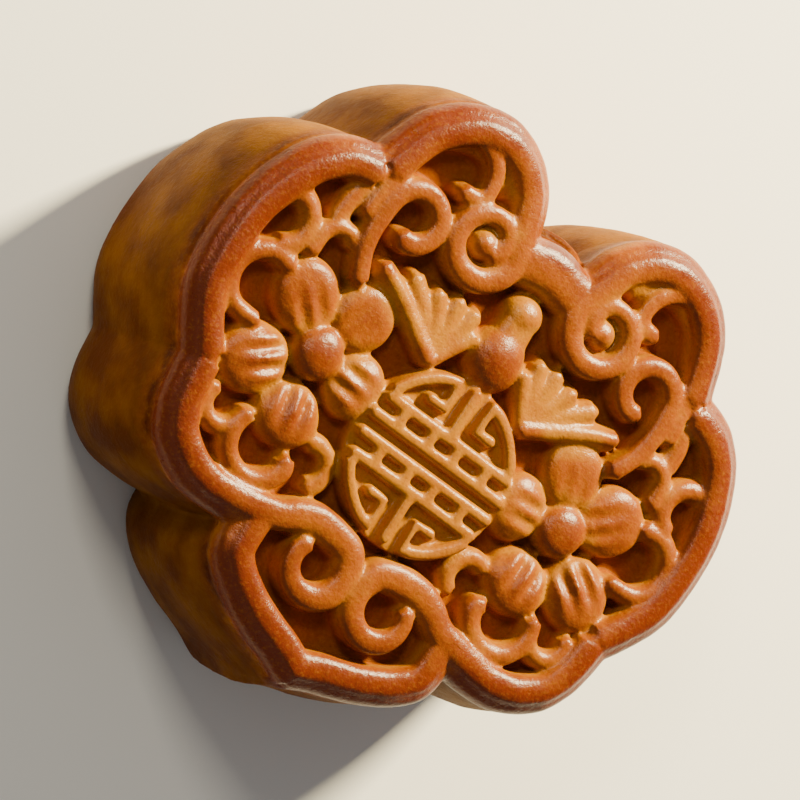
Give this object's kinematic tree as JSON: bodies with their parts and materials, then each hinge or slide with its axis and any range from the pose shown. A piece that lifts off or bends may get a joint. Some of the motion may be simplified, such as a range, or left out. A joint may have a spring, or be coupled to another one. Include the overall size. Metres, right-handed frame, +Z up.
{
  "type": "mooncake",
  "caption": "Lobed pressed mooncake with a raised rim, scrolls, flowers, leaves and a round fret medallion on its face, flat underneath.",
  "frame": {"origin": "middle of the flat base, under the middle of the bounding box", "axes": "+X across the cake to its right-hand flower, +Y along its axis of symmetry to the notch, +Z up out of the patterned face"},
  "size_m": [0.0754, 0.0674, 0.0297],
  "materials": {
    "baked_dough": "baked wheat dough with a satin egg wash: red-brown on the high ridges, golden ochre lower down and brown in the pockets"
  },
  "bodies": {
    "root": {"mooncake": "baked_dough"}
  },
  "joints": []
}
